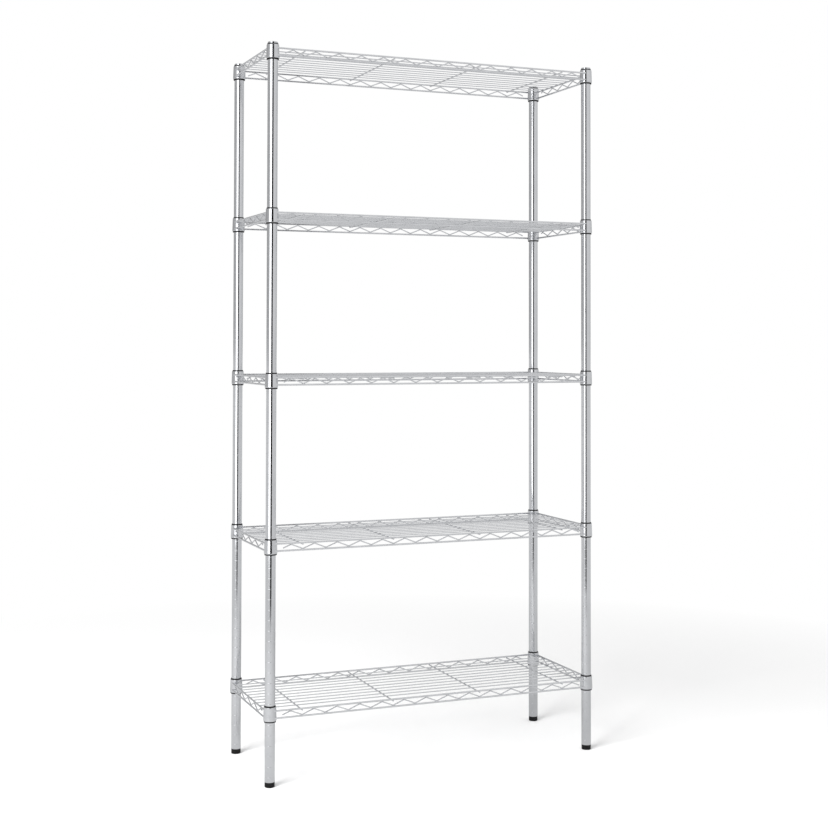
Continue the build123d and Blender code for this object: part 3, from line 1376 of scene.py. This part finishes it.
@dataclass
class ShelfWires:
    """One shelf's welded wires: rails, zigzag trusses, deck wires, cross wires and their welds."""

    plan: RackPlan
    collars: Collars
    truss_pitch: float = 60.0 * MM
    truss_bend: float = 6.0 * MM
    truss_end_room: float = 34.0 * MM
    truss_end_gap: float = 28.0 * MM
    truss_stub_share: float = 0.7
    deck_count: int = 10
    cross_count: int = 4
    burr: float = 0.35 * MM
    weld_sink: float = 0.3 * MM  # how far a rail's end sinks into its collar
    rail_sides: int = 24
    wire_sides: int = 16
    bend_steps: int = 6
    drops: WeldDrops = WeldDrops()

    def __post_init__(self) -> None:
        """Read the wires' diameters and places, relative to the middle of the collars."""
        level = self.plan.levels[0]
        self.rail_width = extent("shelf_1_top_rails").z
        self.top_height = middle("shelf_1_top_rails").z - level
        self.low_height = middle("shelf_1_lower_rails").z - level
        self.rail_reach = extent("shelf_1_top_rails") / 2 - LEVEL * self.rail_width / 2
        self.truss_width = extent("shelf_1_truss_wires").x - 2 * self.rail_reach.x
        self.truss_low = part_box("shelf_1_truss_wires")[0].z + self.truss_width / 2 - level
        self.truss_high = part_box("shelf_1_truss_wires")[1].z - self.truss_width / 2 - level
        self.deck_width = extent("shelf_1_deck_wires").z
        self.deck_height = middle("shelf_1_deck_wires").z - level
        self.deck_reach = extent("shelf_1_deck_wires") / 2
        self.cross_width = extent("shelf_1_cross_wires").z
        self.cross_height = middle("shelf_1_cross_wires").z - level
        self.cross_reach = extent("shelf_1_cross_wires") / 2

    def reach(self, lie: Lie) -> float:
        """Half the post spacing along a side."""
        return self.plan.spots[Corner.REAR_RIGHT].dot(lie.value)

    def aside(self, lie: Lie) -> Vector:
        """From the middle out to the rails that lie along or across."""
        return self.rail_reach * lie.other.value

    def beside(self, lie: Lie) -> float:
        """How far the rails stand outside the line between the posts."""
        return self.aside(lie).length - self.reach(lie.other)

    def rail(self, lie: Lie, height: float) -> Piece:
        """Draw one rail, its ends cut to lie against the collars.

        Args:
            lie: the way that it lies.
            height: its height from the middle of the collars.

        Returns:
            The rail.
        """
        along, aside = lie.value, self.aside(lie)
        outward = aside.normalized()
        beside, half = self.beside(lie), self.rail_width / 2
        round_radius = self.collars.radius(height) - self.weld_sink
        inner = math.sqrt(round_radius**2 - (beside - half) ** 2)
        outer = math.sqrt(round_radius**2 - (beside + half) ** 2)
        centre = aside + UP * height
        end = along * self.reach(lie)
        edit(straight_wire(centre - end, centre + end, self.rail_width, self.rail_sides, self.burr))
        for side in (-1, 1):
            point = centre + side * (end - along * (inner + outer) / 2)
            slant = outward * self.rail_width + side * along * (inner - outer)
            normal = slant.cross(UP).normalized()
            if normal.dot(side * along) < 0:
                normal.negate()
            bpy.ops.mesh.select_all(action="SELECT")
            bpy.ops.mesh.bisect(
                plane_co=point, plane_no=normal, use_fill=True, clear_outer=True, threshold=MERGE_GAP
            )
        return close_up(CUT_SMOOTH_BELOW)

    def rails(self, height: float) -> Piece:
        """The four rails at one height."""
        return on_four_sides(lambda lie: self.rail(lie, height))

    def peaks(self, lie: Lie) -> list[float]:
        """Work out where a truss has its upper bends.

        Args:
            lie: the way that it lies.

        Returns:
            Their places along its side.
        """
        room = 2 * (self.reach(lie) - self.truss_end_room)
        gaps = int(room // self.truss_pitch)
        return [(number - gaps / 2) * self.truss_pitch for number in range(gaps + 1)]

    def truss(self, lie: Lie) -> Piece:
        """Draw one zigzag wire out from a free end through all its bends.

        Args:
            lie: the way that it lies.

        Returns:
            The wire.
        """
        along, aside = lie.value, self.aside(lie)
        bend, run = self.truss_bend, self.truss_pitch / 2
        straight_rise = self.truss_high - self.truss_low - 2 * bend
        slope = math.atan2(straight_rise, run) + math.asin(2 * bend / math.hypot(run, straight_rise))
        past_bend = bend * (1 / math.cos(slope) - 1)
        in_bend = bend * math.tan(slope)
        leg = run / math.cos(slope) - 2 * in_bend
        peaks = self.peaks(lie)
        stub = min(self.reach(lie) - self.truss_end_gap - peaks[-1], self.truss_stub_share * run)
        free_leg = stub / math.cos(slope) - in_bend
        start_height = self.truss_high + past_bend - stub * math.tan(slope)
        start = aside + along * (peaks[0] - stub) + UP * start_height
        heading = along * math.cos(slope) + UP * math.sin(slope)
        upper, lower = UP * (self.truss_high - bend), UP * (self.truss_low + bend)
        over = UP.cross(along)
        wire = DrawnWire(start, heading, self.truss_width, self.wire_sides, self.burr)
        wire.run(self.burr)
        wire.run(free_leg - 2 * self.burr)
        for number, peak in enumerate(peaks):
            wire.bend(aside + along * peak + upper, over, 2 * slope, self.bend_steps)
            if number < len(peaks) - 1:
                wire.run(leg)
                wire.bend(aside + along * (peak + run) + lower, -over, 2 * slope, self.bend_steps)
                wire.run(leg)
        wire.run(free_leg - 2 * self.burr)
        wire.run(self.burr)
        return wire.cut()

    def deck_rows(self) -> list[float]:
        """Places of the deck wires across the shelf."""
        return even_rows(self.deck_reach.y - self.deck_width / 2, self.deck_count)

    def cross_rows(self) -> list[float]:
        """Places of the cross wires along the shelf."""
        return even_rows(self.cross_reach.x - self.cross_width / 2, self.cross_count)

    def deck(self) -> Piece:
        """Draw the long wires that pots and trays stand on.

        Returns:
            The wires.
        """
        end = Lie.ALONG.value * self.deck_reach.x
        wire = straight_wire(-end, end, self.deck_width, self.wire_sides, self.burr)
        return spread(wire, [Vector((0, place, self.deck_height)) for place in self.deck_rows()])

    def cross(self) -> Piece:
        """Draw the wires under the deck.

        Returns:
            The wires.
        """
        end = Lie.ACROSS.value * self.cross_reach.y
        wire = straight_wire(-end, end, self.cross_width, self.wire_sides, self.burr)
        return spread(wire, [Vector((place, 0, self.cross_height)) for place in self.cross_rows()])

    def deck_welds(self) -> list[Piece]:
        """Model the welds of the deck wires and cross wires.

        Returns:
            Those on the cross wires, those on the long rails and those on the short rails.
        """
        drops = self.drops
        on_cross = (self.deck_height + self.cross_height) / 2 + (self.cross_width - self.deck_width) / 4
        on_rail = (self.top_height + self.cross_height) / 2 + (self.cross_width - self.rail_width) / 4
        butt = self.rail_reach.x - self.rail_width / 2
        deck_spread, cross_spread = self.deck_width + drops.deck_spill, self.cross_width + drops.deck_spill
        flat = Vector((cross_spread, deck_spread, drops.deck_height))
        wide = Vector((self.cross_width + drops.cross_spill, drops.cross_length, drops.cross_height))
        butt_width, butt_height = self.deck_width + drops.butt_spill, self.deck_width + drops.butt_rise
        upright = Vector((drops.butt_thickness, butt_width, butt_height))
        crossings = [Vector((x, y, on_cross)) for x in self.cross_rows() for y in self.deck_rows()]
        rails = (-self.rail_reach.y, self.rail_reach.y)
        seats = [Vector((x, rail, on_rail)) for x in self.cross_rows() for rail in rails]
        butts = [Vector((x, y, self.deck_height)) for y in self.deck_rows() for x in (-butt, butt)]
        return [spread(drop(flat), crossings), spread(drop(wide), seats), spread(drop(upright), butts)]

    def truss_welds(self, lie: Lie) -> Piece:
        """Model the welds where a zigzag's bends touch the rails.

        Args:
            lie: the way that it lies.

        Returns:
            The welds on both sides of the shelf.
        """
        along = lie.value
        peaks = self.peaks(lie)
        under_top = UP * (self.top_height - self.rail_width / 2)
        over_low = UP * (self.low_height + self.rail_width / 2)
        places = []
        for aside in (-self.aside(lie), self.aside(lie)):
            places += [aside + along * peak + under_top for peak in peaks]
            places += [aside + along * (peak + self.truss_pitch / 2) + over_low for peak in peaks[:-1]]
        drops = self.drops
        thickness = (LEVEL - along) * (self.truss_width + drops.truss_spill)
        return spread(drop(along * drops.truss_length + thickness + UP * drops.truss_height), places)

    def collar_welds(self) -> Piece:
        """Model the welds at the ends of the rails.

        Returns:
            The welds on all four collars.
        """
        places = []
        for spot in self.plan.spots.values():
            for height in (self.top_height, self.low_height):
                for lie in Lie:
                    beside = self.beside(lie) - self.rail_width / 4
                    along = math.sqrt(self.collars.radius(height) ** 2 - beside**2)
                    inward = -lie.value * math.copysign(1, spot.dot(lie.value))
                    outward = lie.other.value * math.copysign(1, spot.dot(lie.other.value))
                    places.append(spot + outward * beside + inward * along + UP * height)
        width = self.drops.collar_width
        return spread(drop(Vector((width, width, self.drops.collar_height))), places)

    def welds(self) -> Piece:
        """All the welds of the shelf, as one piece."""
        return joined([*self.deck_welds(), *map(self.truss_welds, Lie), self.collar_welds()])


@dataclass
class Shelves:
    """Five wire shelves, each one weldment that lifts off its sleeves."""

    plan: RackPlan

    def build(self, collar_chrome: Material, wire_chrome: Material) -> None:
        """Model one shelf, then copy, dress and hang it on every level.

        Args:
            collar_chrome: finish of the collars.
            wire_chrome: finish of the wires and their welds.
        """
        collars = Collars(self.plan)
        wires = ShelfWires(self.plan, collars)
        collar, wire = (Slot.COLLAR, collar_chrome), (Slot.WIRE, wire_chrome)
        patterns = [
            ("corner_collars", ["collars"], collar, collars.model()),
            ("upper_rails", ["top_rails"], wire, wires.rails(wires.top_height)),
            ("bottom_rails", ["lower_rails"], wire, wires.rails(wires.low_height)),
            ("zigzag_wires", ["truss_wires"], wire, on_four_sides(wires.truss)),
            ("long_deck_wires", ["deck_wires"], wire, wires.deck()),
            ("under_deck_wires", ["cross_wires"], wire, wires.cross()),
            ("wire_welds", [], wire, wires.welds()),
        ]
        for number, level in enumerate(self.plan.levels, start=1):
            body = f"shelf_{number}"
            for part, packed, finish, pattern in patterns:
                nodes = [f"{body}_{name}" for name in packed]
                finish_piece(copied(pattern, UP * level), f"{body}_{part}", body, *finish, *nodes)
        for *_, pattern in patterns:
            bpy.data.objects.remove(pattern)


def dress_hidden_fasteners(zinc: Material) -> None:
    """Give the inserts and joiner studs inside the posts their finish.

    Args:
        zinc: the finish.
    """
    for name in ("post_inserts", "post_joiner_studs"):
        fastener = frame["nodes"][name]
        fastener.data.materials.clear()
        fastener.data.materials.append(zinc)
        LOG.info("%s: packed shape, zinc plated", name)


# ------------------------------------------------------------------------------ the studio


def aimed(place: Sequence[float], heading: Vector, axis: str) -> Matrix:
    """Placement at a place, with one of the object's axes along a heading."""
    return Matrix.Translation(place) @ heading.to_track_quat(axis, "Y").to_matrix().to_4x4()


def hung(name: str, data: bpy.types.ID, placement: Matrix) -> Piece:
    """Hang a camera or a light in the studio.

    Args:
        name: its name.
        data: what it is.
        placement: where it stands and how it is turned.

    Returns:
        Its object.
    """
    made = bpy.data.objects.new(name, data)
    bpy.context.collection.objects.link(made)
    made.matrix_world = placement
    return made


@dataclass(frozen=True)
class Viewpoint:
    """Where the camera stands and looks, in metres and radians."""

    place: tuple[float, float, float] = (-1.45497, -3.5736, 1.09213)
    yaw: float = -0.389762
    pitch: float = 0.02366
    roll: float = 0.0021
    lens: float = 62.68
    shift: tuple[float, float] = (-0.00425, -0.1308)

    def set_up(self) -> None:
        """Create the camera and make it the scene's own."""
        data = bpy.data.cameras.new("studio_camera")
        data.lens = self.lens
        data.shift_x, data.shift_y = self.shift
        turns = ((self.yaw, "Z"), (QUARTER_TURN + self.pitch, "X"), (self.roll, "Z"))
        placement = Matrix.Translation(self.place)
        for angle, axis in turns:
            placement = placement @ Matrix.Rotation(angle, 4, axis)
        bpy.context.scene.camera = hung("studio_camera", data, placement)


@dataclass(frozen=True)
class Softbox:
    """A rectangular soft light that shines from one place towards another."""

    name: str
    place: tuple[float, float, float]
    towards: tuple[float, float, float]
    size: tuple[float, float]
    radiance: float
    mirrored: bool = True  # whether chrome shows it

    def set_up(self) -> None:
        """Hang the light."""
        data = bpy.data.lights.new(self.name, "AREA")
        data.shape = "RECTANGLE"
        data.size, data.size_y = self.size
        data.energy = self.radiance * math.pi * self.size[0] * self.size[1]
        heading = Vector(self.towards) - Vector(self.place)
        light = hung(self.name, data, aimed(self.place, heading, "-Z"))
        light.visible_camera = False
        light.visible_glossy = self.mirrored


@dataclass
class Studio:
    """A white sweep with soft light from the left, and a narrow dark flag in front."""

    floor_size: float = 200.0
    floor_roughness: float = 0.9
    lit_radius: float = 1.2  # from here to twice as far the floor goes over into plain white
    whiteness: float = 0.9
    reflected_whiteness: float = 0.6
    reflected_glow: float = 0.8
    flag_place: tuple[float, float] = (-0.82, -2.3)
    flag_width: float = 1.35
    flag_height: float = 3.0
    flag_black: float = 0.004
    room_level: float = 0.66  # brightness of the room where it is reflected
    room_slopes: tuple[tuple[str, float], ...] = (("Y", -0.18), ("Z", 0.15), ("X", 0.08))
    lights: tuple[Softbox, ...] = (
        Softbox("key_softbox", (-3.1, -2.7, 1.5), (0.0, 0.0, 0.9), (2.8, 3.0), 1.8),
        Softbox("side_softbox", (-3.0, -1.8, 3.1), (0.0, 0.0, 0.0), (2.2, 2.2), 11.8, False),
    )

    def floor(self) -> None:
        """Lay the pale floor."""
        deselect()
        bpy.ops.mesh.primitive_plane_add(size=self.floor_size)
        plane = bpy.context.object
        plane.name = "studio_floor"
        material, tree, shader, place = new_material("studio_white")
        shader.inputs["Roughness"].default_value = self.floor_roughness
        shader.inputs["Specular IOR Level"].default_value = 0.0
        away = node(tree, "VectorMath", operation="LENGTH")
        tree.links.new(place, away.inputs[0])
        far = ranged(tree, away.outputs["Value"], given=(self.lit_radius, self.lit_radius * 2))
        near = ranged(tree, far, wanted=(1.0, 0.0))
        seen = node(tree, "LightPath").outputs["Is Camera Ray"]
        white = ranged(tree, seen, wanted=(self.reflected_whiteness, self.whiteness))
        tree.links.new(math_node(tree, "MULTIPLY", near, white), shader.inputs["Base Color"])
        glow = ranged(tree, seen, wanted=(self.reflected_glow, 1.0))
        shader.inputs["Emission Color"].default_value = (1, 1, 1, 1)
        tree.links.new(math_node(tree, "MULTIPLY", far, glow), shader.inputs["Emission Strength"])
        plane.data.materials.append(material)

    def flag(self) -> None:
        """Stand the dark flag that draws a narrow dark line down the chrome."""
        deselect()
        bpy.ops.mesh.primitive_plane_add(size=1)
        edit(bpy.context.object)
        bpy.ops.transform.resize(value=(self.flag_width, self.flag_height, 1), center_override=(0, 0, 0))
        bpy.ops.object.mode_set(mode="OBJECT")
        card = bpy.context.object
        card.name = "dark_flag"
        facing = Vector((*self.flag_place, 0)).normalized()
        card.matrix_world = aimed((*self.flag_place, self.flag_height / 2), facing, "Z")
        material, _, shader, _ = new_material("flag_black")
        shader.inputs["Base Color"].default_value = (*[self.flag_black] * 3, 1)
        shader.inputs["Roughness"].default_value = 1.0
        shader.inputs["Specular IOR Level"].default_value = 0.0
        card.data.materials.append(material)
        card.visible_camera = card.visible_shadow = card.visible_diffuse = False

    def surroundings(self) -> None:
        """Make the room: white to look at, softly shaded where it is reflected."""
        world = bpy.data.worlds.new("white_room")
        bpy.context.scene.world = world
        world.use_nodes = True
        tree = world.node_tree
        tree.nodes.clear()
        split = node(tree, "SeparateXYZ")
        tree.links.new(node(tree, "TexCoord").outputs["Generated"], split.inputs["Vector"])
        shade = self.room_level
        for axis, slope in self.room_slopes:
            shade = math_node(tree, "MULTIPLY_ADD", split.outputs[axis], slope, shade)
        brightness = node(tree, "Mix", data_type="FLOAT")
        tree.links.new(node(tree, "LightPath").outputs["Is Camera Ray"], brightness.inputs["Factor"])
        tree.links.new(shade, brightness.inputs["A"])
        brightness.inputs["B"].default_value = 1.0
        back = node(tree, "Background")
        back.inputs["Color"].default_value = (1, 1, 1, 1)
        tree.links.new(brightness.outputs["Result"], back.inputs["Strength"])
        tree.links.new(back.outputs["Background"], node(tree, "OutputWorld").inputs["Surface"])

    def set_up(self) -> None:
        """Build the studio."""
        self.surroundings()
        self.floor()
        self.flag()
        for light in self.lights:
            light.set_up()
        Viewpoint().set_up()
        bpy.context.scene.view_settings.view_transform = "Standard"


def main() -> None:
    """Build the rack piece by piece, then the studio round it."""
    logging.basicConfig(level=logging.INFO, format="%(name)s: %(message)s")
    effects = Effects()
    plan = RackPlan.read()
    zinc = ZINC_PLATE.material(effects)
    Posts(plan).build(POST_CHROME.material(effects), CAP_CHROME.material(effects))
    dress_hidden_fasteners(zinc)
    LevellingFeet(plan).build(FOOT_BLACK.material(effects), zinc)
    SplitSleeves(plan).build(SLEEVE_BLACK.material(effects))
    Shelves(plan).build(COLLAR_CHROME.material(effects), WIRE_CHROME.material(effects))
    Studio().set_up()


if __name__ == "__main__":
    main()
